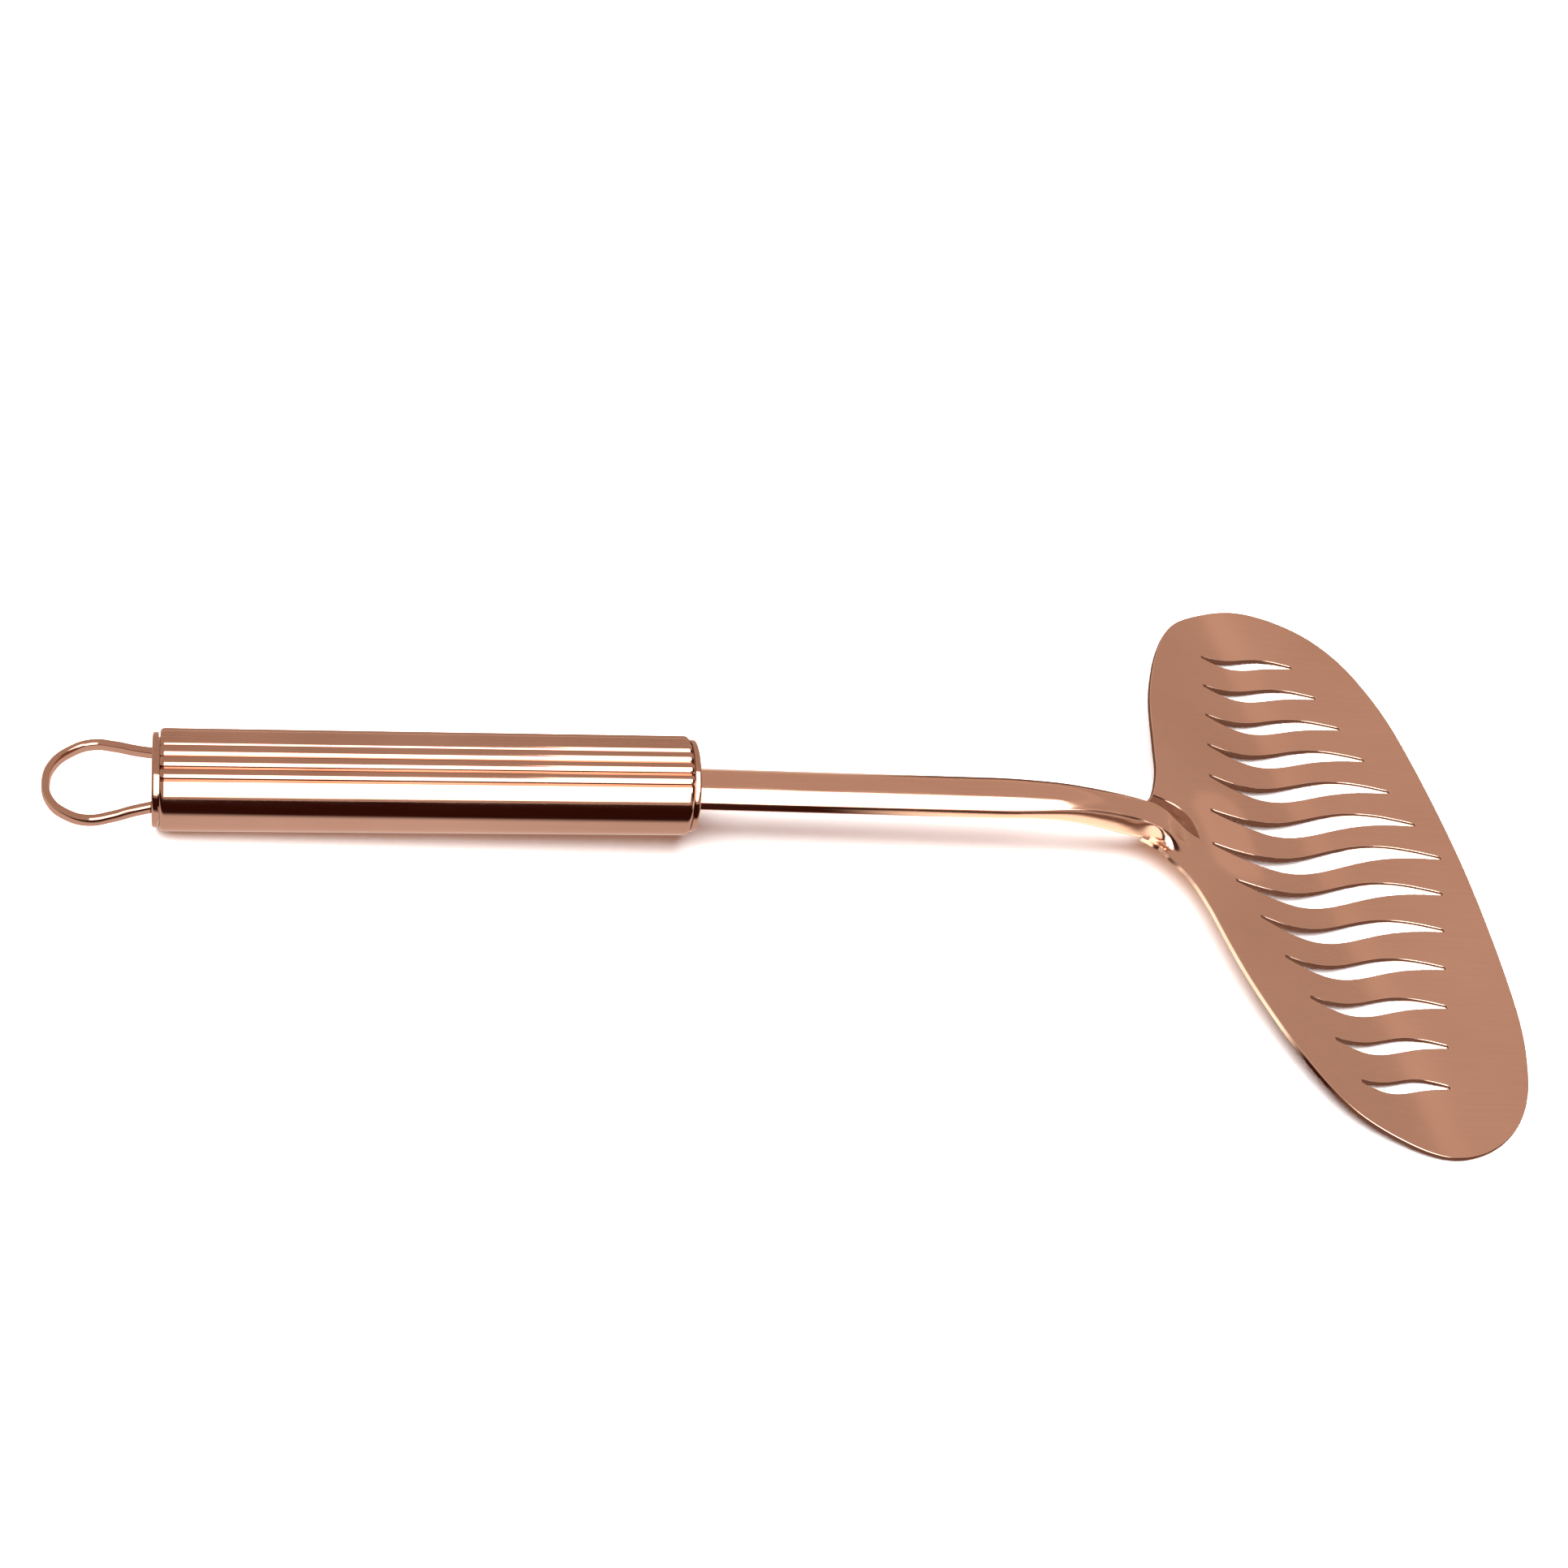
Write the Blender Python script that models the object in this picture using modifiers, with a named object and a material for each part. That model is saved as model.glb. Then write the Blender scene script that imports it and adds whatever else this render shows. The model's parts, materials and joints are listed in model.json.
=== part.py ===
"""Slotted fish spatula: pressed blade and shank, reeded tube handle, two caps and a hanging loop."""

import math

import bmesh
import bpy
import numpy as np

for old in list(bpy.data.objects):
    bpy.data.objects.remove(old, do_unlink=True)

# Shared fits
clearance = 0.0003
tang_play = 0.0002
sheet_thickness = 0.0010

# Handle tube, axis along X, rear end of the reeded length at x = 0
tube_radius = 0.0110
tube_length = 0.1115
bore_radius = 0.0094
reed_count = 6
reed_pitch = math.radians(16.0)
reed_arc_radius = 0.0016
reed_facets = 10
plain_facets = 66
rolled_end_length = 0.00105
rolled_end_depth = 0.0006
rolled_end_steps = 4

# End caps
cap_inset = 0.0008
cap_lip_length = 0.0013
cap_edge_radius = 0.0005
cap_spigot_length = 0.0050
cap_steps = 72

# Hanging loop, a flat band bent to shape
band_thickness = 0.0018
band_height = 0.0028
loop_length = 0.0255
loop_half_width = 0.0123
leg_inset = 0.0024
leg_spread = 0.0012
clinch_length = 0.0024
loop_droop = math.radians(3.8)

# Shank, a shallow domed channel that narrows and deepens towards the neck
tang_length = 0.0495
shank_length = 0.1145
shank_rise = 0.0013
shank_slope = -0.025
shank_half_width = 0.0052
neck_half_width = 0.0035
narrowing_length = 0.0280
narrowing_end = 0.0130
dome_rise = 0.0009
crown_rise = 0.0025
shank_wall = 0.0021
neck_wall = 0.0047
wall_flare = 0.33
neck_bend_length = 0.0280

# Blade, bent about the Y axis and running out flat at the front edge
blade_length = 0.0810
blade_half_width = 0.0899
blade_drop = 0.0155
flat_length = 0.0146
blade_corners = (
    (-0.030, 0.080),
    (0.015, 0.126),
    (0.047, 0.204),
    (0.065, 0.309),
    (0.118, 0.519),
    (0.210, 0.734),
    (0.313, 0.881),
    (0.459, 0.969),
    (0.589, 1.000),
    (0.720, 0.966),
    (0.835, 0.875),
    (0.917, 0.726),
    (0.973, 0.480),
    (1.000, 0.000),
)
outline_steps = 5

# Pressed valleys that flank the neck, the far one (+Y) running further into the blade
valley_start = 0.0085
far_valley_length = 0.0124
near_valley_length = 0.0038
valley_end_length = 0.0042
valley_mouth = 0.0112
valley_taper = 0.0082
valley_side = 0.0018
valley_floor = 0.0014
valley_depth = 0.0018
neck_dip = 0.0030
neck_dip_width = 0.0080
neck_dip_reach = 0.0260
neck_dip_length = 0.0240

# Flame-shaped slots, longest in the middle
slots_each_side = 6
slot_side_margin = 0.0202
slot_rear_margin = 0.0139
slot_rear_step = 0.0028
slot_front_margin = 0.0049
slot_front_step = 0.0032
slot_near_step = 0.0038
slot_width = 0.0057
slot_end_width = 0.0008
slot_wave = 0.0045
slot_shift = -0.0010
slot_side_points = 15

copper = (0.72, 0.43, 0.32, 1.0)

parts = bpy.data.collections.new("fish_spatula")
cutters = bpy.data.collections.new("cutters")
bpy.context.scene.collection.children.link(parts)
bpy.context.scene.collection.children.link(cutters)


def metal(name, roughness):
    material = bpy.data.materials.new(name)
    material.use_nodes = True
    shader = material.node_tree.nodes["Principled BSDF"]
    shader.inputs["Base Color"].default_value = copper
    shader.inputs["Metallic"].default_value = 1.0
    shader.inputs["Roughness"].default_value = roughness
    return material


def add_object(name, data, collection):
    item = bpy.data.objects.new(name, data)
    collection.objects.link(item)
    return item


def mesh_from(name, bm):
    mesh = bpy.data.meshes.new(name)
    bm.to_mesh(mesh)
    bm.free()
    return mesh


def shade(item, material, angle=math.radians(32.0)):
    item.data.materials.append(material)
    for polygon in item.data.polygons:
        polygon.use_smooth = True
    item.data.set_sharp_from_angle(angle=angle)


def smooth(value, start, end):
    t = np.clip((value - start) / (end - start), 0.0, 1.0)
    return t * t * (3.0 - 2.0 * t)


# Handle tube
def reed_radius_at(angle):
    zone = reed_count * reed_pitch / 2.0
    if abs(angle) >= zone:
        return tube_radius
    offset = (angle + zone) % reed_pitch - reed_pitch / 2.0
    centre = tube_radius - reed_arc_radius
    side = centre * math.sin(offset)
    return centre * math.cos(offset) + math.sqrt(reed_arc_radius ** 2 - side ** 2)


def tube_ring(bm, x, angles, radius_of):
    return [
        bm.verts.new((x, -radius_of(a) * math.sin(a), radius_of(a) * math.cos(a)))
        for a in angles
    ]


zone = reed_count * reed_pitch / 2.0
reed_angles = np.linspace(-zone, zone, reed_count * reed_facets, endpoint=False)
plain_angles = np.linspace(zone, 2.0 * math.pi - zone, plain_facets, endpoint=False)
tube_angles = [float(a) for a in np.concatenate((reed_angles, plain_angles))]
turned_angles = [a if a <= math.pi else a - 2.0 * math.pi for a in tube_angles]

bm = bmesh.new()
rings = []
for step in range(rolled_end_steps, -1, -1):
    roll = 0.5 * math.pi * step / rolled_end_steps
    drop = rolled_end_depth * (1.0 - math.cos(roll))
    x = -rolled_end_length * math.sin(roll)
    rings.append(tube_ring(bm, x, turned_angles, lambda a, d=drop: reed_radius_at(a) - d))
for step in range(rolled_end_steps + 1):
    roll = 0.5 * math.pi * step / rolled_end_steps
    drop = rolled_end_depth * (1.0 - math.cos(roll))
    x = tube_length + rolled_end_length * math.sin(roll)
    rings.append(tube_ring(bm, x, turned_angles, lambda a, d=drop: reed_radius_at(a) - d))
for x in (tube_length + rolled_end_length, -rolled_end_length):
    rings.append(tube_ring(bm, x, turned_angles, lambda a: bore_radius))
for near, far in zip(rings, rings[1:] + rings[:1]):
    for i in range(len(near)):
        j = (i + 1) % len(near)
        bm.faces.new((near[i], near[j], far[j], far[i]))
bmesh.ops.recalc_face_normals(bm, faces=bm.faces)
handle_tube = add_object("handle_tube", mesh_from("handle_tube", bm), parts)
shade(handle_tube, metal("polished copper tube", 0.16), math.radians(40.0))


cap_reach = rolled_end_length + clearance + cap_lip_length
cap_radius = tube_radius - cap_inset


# Hanging loop and the cutter for its two holes
def loop_curve(name, grow, collection):
    curve = bpy.data.curves.new(name, "CURVE")
    curve.dimensions = "3D"
    curve.twist_mode = "Z_UP"
    curve.fill_mode = "FULL"
    curve.use_fill_caps = True
    curve.bevel_depth = band_thickness / 2.0 + grow
    curve.extrude = (band_height - band_thickness) / 2.0
    curve.bevel_resolution = 2
    curve.resolution_u = 5
    half = band_thickness / 2.0
    middle = loop_half_width - half
    leg = bore_radius - leg_inset
    behind_cap = cap_spigot_length + half + 2.0 * clearance
    side = (
        (behind_cap, leg - clinch_length),
        (behind_cap - 0.3 * half, leg - 0.4 * clinch_length),
        (0.45 * cap_spigot_length, leg),
        (-cap_reach, leg + leg_spread),
        (-0.25 * loop_length, leg + leg_spread + 0.3 * (middle - leg - leg_spread)),
        (-0.41 * loop_length, leg + leg_spread + 0.73 * (middle - leg - leg_spread)),
        (-0.61 * loop_length, middle),
        (-0.79 * loop_length, 0.82 * middle),
        (-0.92 * loop_length, 0.48 * middle),
    )
    path = side + ((half - loop_length, 0.0),) + tuple((x, -y) for x, y in reversed(side))
    spline = curve.splines.new("BEZIER")
    spline.bezier_points.add(len(path) - 1)
    for point, (x, y) in zip(spline.bezier_points, path):
        point.co = (x, y, 0.0)
        point.handle_left_type = "AUTO"
        point.handle_right_type = "AUTO"
    item = add_object(name, curve, collection)
    item.rotation_euler = (0.0, -loop_droop, 0.0)
    bpy.context.view_layer.update()
    mesh = bpy.data.meshes.new_from_object(item.evaluated_get(bpy.context.evaluated_depsgraph_get()))
    mesh.transform(item.matrix_world)
    bm = bmesh.new()
    bm.from_mesh(mesh)
    bmesh.ops.remove_doubles(bm, verts=bm.verts, dist=0.00001)
    bmesh.ops.recalc_face_normals(bm, faces=bm.faces)
    bm.to_mesh(mesh)
    bm.free()
    bpy.data.objects.remove(item, do_unlink=True)
    return add_object(name, mesh, collection)


hanging_loop = loop_curve("hanging_loop", 0.0, parts)
shade(hanging_loop, metal("polished copper band", 0.14))
loop_cutter = loop_curve("loop_cutter", clearance, cutters)


# End caps, turned from one half profile
def turned_cap(name, face_x, outward):
    inner = face_x - outward * (cap_lip_length + clearance + cap_spigot_length)
    shoulder = face_x - outward * cap_lip_length
    edge = cap_edge_radius
    spigot_radius = bore_radius - clearance
    profile = [(face_x, 0.0), (face_x, cap_radius - edge)]
    for step in range(1, 5):
        turn = 0.5 * math.pi * step / 4.0
        profile.append((
            face_x - outward * edge * (1.0 - math.cos(turn)),
            cap_radius - edge + edge * math.sin(turn),
        ))
    profile += [(shoulder, cap_radius), (shoulder, spigot_radius), (inner, spigot_radius), (inner, 0.0)]
    bm = bmesh.new()
    verts = [bm.verts.new((x, 0.0, r)) for x, r in profile]
    for a, b in zip(verts, verts[1:]):
        bm.edges.new((a, b))
    cap = add_object(name, mesh_from(name, bm), parts)
    screw = cap.modifiers.new("turn", "SCREW")
    screw.axis = "X"
    screw.steps = cap_steps
    screw.render_steps = cap_steps
    screw.use_merge_vertices = True
    screw.merge_threshold = 0.00001
    screw.use_normal_calculate = True
    return cap


def cut(item, cutter):
    boolean = item.modifiers.new("cut", "BOOLEAN")
    boolean.operation = "DIFFERENCE"
    boolean.solver = "EXACT"
    boolean.object = cutter
    cutter.hide_render = True
    cutter.display_type = "WIRE"


def settle(item, material):
    bpy.context.view_layer.update()
    mesh = bpy.data.meshes.new_from_object(item.evaluated_get(bpy.context.evaluated_depsgraph_get()))
    item.modifiers.clear()
    item.data = mesh
    bm = bmesh.new()
    bm.from_mesh(mesh)
    bmesh.ops.remove_doubles(bm, verts=bm.verts, dist=0.000005)
    bmesh.ops.recalc_face_normals(bm, faces=bm.faces)
    bm.to_mesh(mesh)
    bm.free()
    shade(item, material)


rear_cap = turned_cap("rear_cap", -cap_reach, -1.0)
cut(rear_cap, loop_cutter)
settle(rear_cap, metal("polished copper rear cap", 0.15))


# Blade and shank: a flat blank with its slots, pressed to shape and thickened
neck_x = tube_length + shank_length
front_x = neck_x + blade_length
flat_x = front_x - flat_length
tip_x = neck_x + far_valley_length
neck_start = neck_x - valley_start
narrowing_x = neck_x - narrowing_end - narrowing_length
tang_x = tube_length - tang_length
bend_x = neck_x - neck_bend_length
blade_bend = blade_drop / (flat_x - neck_x) ** 2
neck_slope = -2.0 * blade_bend * (flat_x - neck_x)
bend_height = shank_rise + shank_slope * (bend_x - tube_length)
neck_height = bend_height + 0.5 * (shank_slope + neck_slope) * neck_bend_length
blade_floor = neck_height - blade_drop - sheet_thickness
reach = 2.0 * blade_bend * flat_x
land_slope = math.sqrt(reach ** 2 + 4.0 * blade_bend * (blade_floor + tube_radius)) - reach
land_x = flat_x + land_slope / (2.0 * blade_bend)
blank_wall = wall_flare * neck_wall
blank_half_width = neck_half_width + blank_wall


def centre_height(x):
    straight = shank_rise + shank_slope * (x - tube_length)
    t = x - bend_x
    bend = bend_height + shank_slope * t + (neck_slope - shank_slope) * t * t / (2.0 * neck_bend_length)
    dish = blade_bend * (flat_x - np.minimum(x, land_x)) ** 2 + land_slope * np.maximum(x - land_x, 0.0)
    return np.where(x < bend_x, straight, np.where(x < neck_x, bend, neck_height - blade_drop + dish))


def crown_half_width(x):
    narrowed = neck_x - narrowing_end
    narrow = (shank_half_width - neck_half_width) * smooth(x, narrowed - narrowing_length, narrowed)
    point = 0.6 * neck_half_width * smooth(x, tip_x - 2.0 * valley_end_length, tip_x)
    return shank_half_width - narrow - point


def wall_drop(x, tip):
    deepened = neck_x - 0.7 * narrowing_end
    deepen = (neck_wall - shank_wall) * smooth(x, deepened - narrowing_length, deepened)
    deep = shank_wall + deepen
    deep = deep + (valley_depth - deep) * smooth(x, neck_start, neck_x)
    return deep * (1.0 - smooth(x, tip - valley_end_length, tip))


def wall_width(x):
    return wall_flare * wall_drop(x, tip_x) + valley_floor * smooth(x, neck_start, tip_x)


def valley_rim(x, tip):
    run = np.clip((x - tip + valley_taper) / valley_taper, 0.0, 1.0)
    return valley_mouth * np.sqrt(1.0 - run ** 2)


def press(x, flat_y):
    side = np.abs(flat_y)
    crown = crown_half_width(x)
    wall = wall_width(x)
    on_crown = side * crown / neck_half_width
    on_wall = crown + (side - neck_half_width) * wall / blank_wall
    spread = 1.0 - smooth(side, blank_half_width, 3.0 * blank_half_width)
    beyond = side + (crown + wall - blank_half_width) * spread
    shaped = np.where(side < neck_half_width, on_crown, np.where(side < blank_half_width, on_wall, beyond))
    y = shaped + (side - shaped) * smooth(x, tip_x - valley_end_length, tip_x + valley_end_length)

    dome = dome_rise * (1.0 - smooth(x, neck_start - valley_taper, tip_x - valley_end_length))
    arch = (crown_rise - dome_rise) * (1.0 - smooth(x, narrowing_x, neck_start))
    across = np.minimum(y / crown, 1.0) ** 2
    rounded = dome * across - arch * (1.0 - across)
    in_valley = smooth(x, neck_start, neck_x)
    t = np.clip((y - crown) / wall, 0.0, 1.0)
    falls = (1.0 - in_valley) * (1.0 - np.cos(0.5 * math.pi * t)) + in_valley * smooth(t, 0.0, 1.0)
    tip = np.where(flat_y > 0.0, tip_x, neck_x + near_valley_length)
    rim = valley_rim(x, tip)
    climbs = smooth(y, rim - valley_side, rim) * in_valley
    sinks = smooth(x, neck_start, neck_x) * falls + smooth(x, neck_x, tip_x) * (1.0 - falls)
    sinks = sinks * (1.0 - smooth(x, neck_x + 0.1 * neck_dip_length, neck_x + neck_dip_length))
    sinks = sinks * (1.0 - smooth(y, neck_dip_width, neck_dip_reach))
    z = centre_height(x) - rounded - wall_drop(x, tip) * falls * (1.0 - climbs) - neck_dip * sinks
    return np.column_stack((x, np.copysign(y, flat_y), z))


def half_outline():
    corners = [np.array((neck_x + blade_length * u, blade_half_width * v)) for u, v in blade_corners]
    before = np.array((2.0 * corners[0][0] - corners[1][0], blank_half_width))
    shank = np.array((before[0] - valley_floor, blank_half_width))
    after = corners[-2] * np.array((1.0, -1.0))
    knots = [shank, before] + corners + [after]
    path = [np.array((tang_x, blank_half_width))]
    for a, b, c, d in zip(knots, knots[1:], knots[2:], knots[3:]):
        for t in np.arange(outline_steps) / outline_steps:
            path.append(0.5 * (
                2.0 * b + (c - a) * t + (2.0 * a - 5.0 * b + 4.0 * c - d) * t ** 2
                + (3.0 * b - a - 3.0 * c + d) * t ** 3
            ))
    return path + [corners[-1]]


def slot_outline(index):
    pitch = (blade_half_width - slot_side_margin) / slots_each_side
    longest = blade_length - slot_rear_margin - slot_front_margin
    rear = neck_x + slot_rear_margin + slot_rear_step * abs(index)
    front_step = slot_front_step if index > 0 else slot_near_step
    front = front_x - slot_front_margin - front_step * abs(index)
    share = (front - rear) / longest
    along = 0.5 * (1.0 - np.cos(np.linspace(0.0, math.pi, slot_side_points)))
    turn = 2.0 * math.pi * (0.02 + 0.97 * along - 0.12 * along ** 4)
    centre = pitch * index + slot_shift - slot_wave * share ** 1.4 * np.sin(turn)
    swell = (slot_width - slot_end_width) * share ** 0.6 * np.sin(math.pi * along)
    half = 0.5 * (slot_end_width + swell)
    x = rear + (front - rear) * along
    upper = np.column_stack((x, centre + half))
    lower = np.column_stack((x, centre - half))
    return np.vstack((upper, lower[::-1]))


def add_outline(curve, path):
    spline = curve.splines.new("POLY")
    spline.points.add(len(path) - 1)
    spline.use_cyclic_u = True
    for point, (x, y) in zip(spline.points, path):
        point.co = (x, y, 0.0, 1.0)


blank = bpy.data.curves.new("blank", "CURVE")
blank.dimensions = "2D"
blank.fill_mode = "BOTH"
side_path = half_outline()
add_outline(blank, side_path + [p * np.array((1.0, -1.0)) for p in reversed(side_path[:-1])])
for index in range(-slots_each_side, slots_each_side + 1):
    add_outline(blank, slot_outline(index))
blank_object = add_object("blank", blank, cutters)
bpy.context.view_layer.update()
flat = bpy.data.meshes.new_from_object(blank_object.evaluated_get(bpy.context.evaluated_depsgraph_get()))
bpy.data.objects.remove(blank_object, do_unlink=True)

bm = bmesh.new()
bm.from_mesh(flat)
bmesh.ops.remove_doubles(bm, verts=bm.verts, dist=0.000001)
bmesh.ops.dissolve_limit(bm, angle_limit=0.01, verts=[], edges=bm.edges)


def score(along, places, x_from, x_to, half_span):
    normal = (1.0, 0.0, 0.0) if along == "y" else (0.0, 1.0, 0.0)
    for place in places:
        geom = set()
        for face in bm.faces:
            middle = face.calc_center_bounds()
            if x_from < middle.x < x_to and abs(middle.y) < half_span:
                geom.update([face, *face.edges, *face.verts])
        point = (place, 0.0, 0.0) if along == "y" else (0.0, place, 0.0)
        bmesh.ops.bisect_plane(bm, geom=list(geom), dist=snap, plane_co=point, plane_no=normal)


snap = 0.00004
valley_end = tip_x + valley_end_length
valley_half = 1.5 * valley_mouth
score("y", (narrowing_x, neck_start, valley_end), tang_x, front_x, blade_half_width)
score("x", (-valley_half, valley_half), neck_start, valley_end, blade_half_width)
score("x", (-blank_half_width, blank_half_width), neck_start, valley_end, valley_half)
score("y", np.linspace(tang_x, narrowing_x, 11)[1:-1], tang_x, narrowing_x, blank_half_width)
score("y", np.linspace(narrowing_x, neck_start, 13)[1:-1], narrowing_x, neck_start, blank_half_width)
score("y", np.linspace(neck_start, valley_end, 20)[1:-1], neck_start, valley_end, valley_half)
score("y", np.linspace(neck_x, valley_end, 4)[1:-1], neck_start, valley_end, blade_half_width)
score("y", np.linspace(valley_end, land_x, 9)[1:], valley_end, front_x, blade_half_width)
crown_lines = [share * neck_half_width for share in (-1.0, -0.78, -0.52, -0.26, 0.0, 0.26, 0.52, 0.78, 1.0)]
score("x", crown_lines, tang_x, valley_end, blank_half_width)
for side in (-1.0, 1.0):
    wall_lines = [side * (neck_half_width + share * blank_wall) for share in (0.35, 0.7)]
    score("x", wall_lines, tang_x, valley_end, blank_half_width)
    score("x", side * np.linspace(blank_half_width, valley_half, 10)[1:-1], neck_start, valley_end, valley_half)

bmesh.ops.triangulate(bm, faces=bm.faces)
bmesh.ops.dissolve_degenerate(bm, edges=bm.edges, dist=snap)
plan = np.array([v.co[:2] for v in bm.verts])
for vert, place in zip(bm.verts, press(plan[:, 0], plan[:, 1])):
    vert.co = place
bmesh.ops.recalc_face_normals(bm, faces=bm.faces)
if sum(face.normal.z for face in bm.faces) < 0.0:
    bmesh.ops.reverse_faces(bm, faces=bm.faces)
blade_shank = add_object("blade_shank", mesh_from("blade_shank", bm), parts)
shell = blade_shank.modifiers.new("sheet", "SOLIDIFY")
shell.thickness = sheet_thickness
shell.offset = -1.0
shell.use_quality_normals = True
shade(blade_shank, metal("satin copper sheet", 0.34))

# Front cap, slotted for the tang
front_cap = turned_cap("front_cap", tube_length + cap_reach, 1.0)
slot_middle = tube_length - 0.5 * cap_spigot_length
section_y = np.linspace(-blank_half_width, blank_half_width, 15)
section = press(np.full(len(section_y), slot_middle), section_y)[:, 1:]
run = np.gradient(section, axis=0)
outward = np.column_stack((-run[:, 1], run[:, 0])) / np.linalg.norm(run, axis=1)[:, None]
slot_path = section + (clearance + tang_play) * outward
slot_bottom = section[:, 1].min() - wall_flare * sheet_thickness - clearance - tang_play
slot_path = np.vstack((slot_path, (slot_path[-1, 0], slot_bottom), (slot_path[0, 0], slot_bottom)))
arch_curve = bpy.data.curves.new("tang_cutter", "CURVE")
arch_curve.dimensions = "2D"
arch_curve.fill_mode = "BOTH"
arch_curve.extrude = 2.0 * cap_spigot_length
add_outline(arch_curve, slot_path)
arch_object = add_object("tang_cutter", arch_curve, cutters)
arch_object.rotation_euler = (0.5 * math.pi, 0.0, 0.5 * math.pi)
arch_object.location.x = slot_middle
bpy.context.view_layer.update()
arch_mesh = bpy.data.meshes.new_from_object(arch_object.evaluated_get(bpy.context.evaluated_depsgraph_get()))
arch_mesh.transform(arch_object.matrix_world)
bpy.data.objects.remove(arch_object, do_unlink=True)
bm = bmesh.new()
bm.from_mesh(arch_mesh)
bmesh.ops.remove_doubles(bm, verts=bm.verts, dist=0.000001)
bmesh.ops.recalc_face_normals(bm, faces=bm.faces)
tang_cutter = add_object("tang_cutter", mesh_from("tang_cutter", bm), cutters)
cut(front_cap, tang_cutter)
settle(front_cap, metal("polished copper front cap", 0.15))

# Rest pose: the rear of the handle and the flat land under the blade's front both lie on the table
rest_tilt = math.atan(land_slope)
rest_pose = bpy.data.objects.new("rest_pose", None)
parts.objects.link(rest_pose)
rest_pose.rotation_euler = (0.0, rest_tilt, 0.0)
rest_pose.location = (0.0, 0.0, tube_radius * math.cos(rest_tilt))
pieces = (blade_shank, handle_tube, front_cap, rear_cap, hanging_loop)
for item in pieces:
    item.parent = rest_pose
bpy.context.view_layer.update()
depsgraph = bpy.context.evaluated_depsgraph_get()
span = []
for item in pieces:
    evaluated = item.evaluated_get(depsgraph)
    span += [(evaluated.matrix_world @ vert.co).x for vert in evaluated.data.vertices]
rest_pose.location.x = -0.5 * (min(span) + max(span))
bpy.context.view_layer.update()
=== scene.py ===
import json
import math
from types import SimpleNamespace

import bmesh
import bpy
import numpy as np
from mathutils import Matrix, Vector

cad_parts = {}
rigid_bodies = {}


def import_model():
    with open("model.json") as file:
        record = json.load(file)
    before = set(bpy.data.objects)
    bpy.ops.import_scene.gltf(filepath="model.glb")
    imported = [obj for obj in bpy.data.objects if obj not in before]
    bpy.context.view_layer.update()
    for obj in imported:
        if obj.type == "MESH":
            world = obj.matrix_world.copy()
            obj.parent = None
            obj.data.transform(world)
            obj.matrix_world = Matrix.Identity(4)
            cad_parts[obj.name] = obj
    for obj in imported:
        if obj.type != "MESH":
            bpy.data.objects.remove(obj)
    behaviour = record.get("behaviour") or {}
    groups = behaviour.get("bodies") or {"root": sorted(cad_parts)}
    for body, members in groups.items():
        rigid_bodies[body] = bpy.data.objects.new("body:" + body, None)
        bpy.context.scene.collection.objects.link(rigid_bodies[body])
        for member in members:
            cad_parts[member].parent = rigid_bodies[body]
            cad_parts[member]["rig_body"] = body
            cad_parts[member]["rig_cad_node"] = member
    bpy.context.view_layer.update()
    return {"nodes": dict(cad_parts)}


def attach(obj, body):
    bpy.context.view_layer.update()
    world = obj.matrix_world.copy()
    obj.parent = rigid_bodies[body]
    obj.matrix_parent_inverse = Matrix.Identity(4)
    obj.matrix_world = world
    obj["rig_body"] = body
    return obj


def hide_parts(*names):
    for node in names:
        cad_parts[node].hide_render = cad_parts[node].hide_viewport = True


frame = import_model()

scene = bpy.context.scene
scene.view_settings.view_transform = "Standard"
joinGap = 0.000002


# small helpers used by every piece
def pickOnly(thing):
    if bpy.context.object and bpy.context.object.mode != "OBJECT":
        bpy.ops.object.mode_set(mode="OBJECT")
    bpy.ops.object.select_all(action="DESELECT")
    thing.select_set(True)
    bpy.context.view_layer.objects.active = thing


def applyAll(thing):
    pickOnly(thing)
    for name in [m.name for m in thing.modifiers]:
        bpy.ops.object.modifier_apply(modifier=name)


def dressedCopy(node, name, creaseDegrees):
    # the solid's loose triangles are joined up and shaded round between its creases
    pickOnly(frame["nodes"][node])
    bpy.ops.object.duplicate()
    piece = bpy.context.object
    piece.name = name
    piece.data.name = name
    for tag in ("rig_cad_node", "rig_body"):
        if tag in piece:
            del piece[tag]
    piece.parent = None
    piece.data.materials.clear()
    bpy.ops.mesh.customdata_custom_splitnormals_clear()
    bpy.ops.object.mode_set(mode="EDIT")
    bpy.ops.mesh.select_all(action="SELECT")
    bpy.ops.mesh.remove_doubles(threshold=joinGap)
    bpy.ops.object.mode_set(mode="OBJECT")
    bpy.ops.object.shade_smooth_by_angle(angle=math.radians(creaseDegrees))
    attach(piece, "root")
    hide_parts(node)
    return piece


def link(tree, a, b):
    tree.links.new(a, b)


def fromSpan(node, span):
    node.inputs["From Min"].default_value, node.inputs["From Max"].default_value = span


# copper finishes: brushed lines over clouds of colour, the same lines in the gloss and the bump
finishLook = {
    "lineDetail": 5.0, "lineRough": 0.62, "cloudDetail": 3.0,
    "toneSpan": (0.25, 0.75), "glossSpan": (0.3, 0.7),
}


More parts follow.
